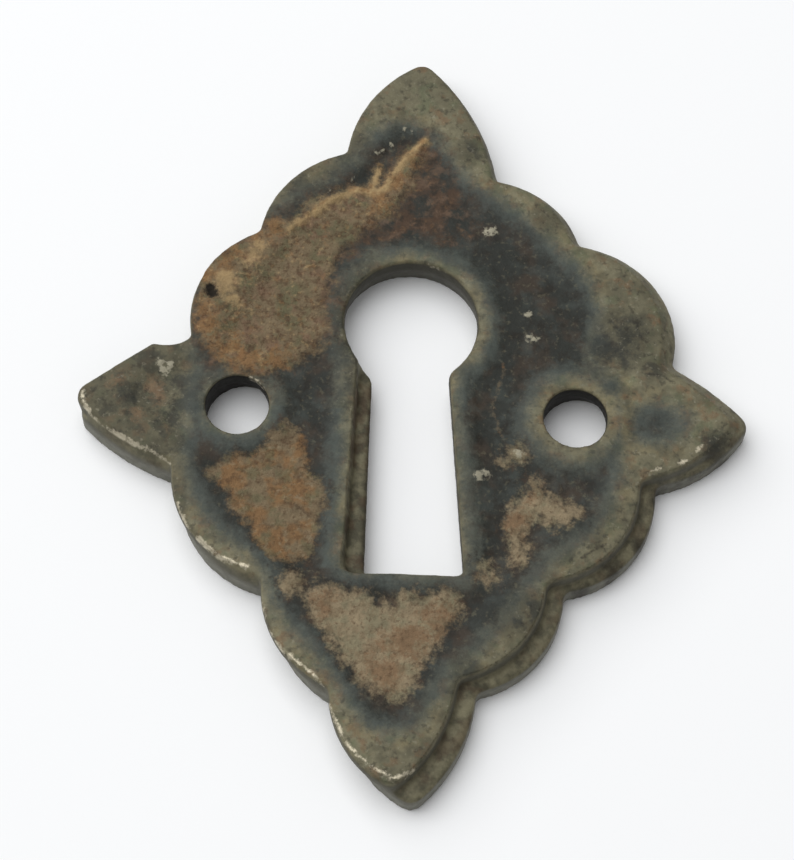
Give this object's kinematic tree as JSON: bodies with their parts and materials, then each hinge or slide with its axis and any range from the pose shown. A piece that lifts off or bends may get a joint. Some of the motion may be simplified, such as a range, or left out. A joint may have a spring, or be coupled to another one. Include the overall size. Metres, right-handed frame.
{
  "type": "keyhole escutcheon",
  "caption": "Lozenge-shaped cast iron keyhole escutcheon with petal tips, scalloped sides, a keyhole and screw holes.",
  "frame": {"origin": "midway between the screw holes, on the flat seat", "axes": "+X along the row of screw holes, +Y towards the top petal over the round of the keyhole, +Z out of the relief face"},
  "size_m": [0.0382, 0.0462, 0.0024],
  "materials": {
    "old_iron": "rusted"
  },
  "bodies": {
    "root": {"escutcheon_plate": "old_iron"}
  },
  "joints": []
}
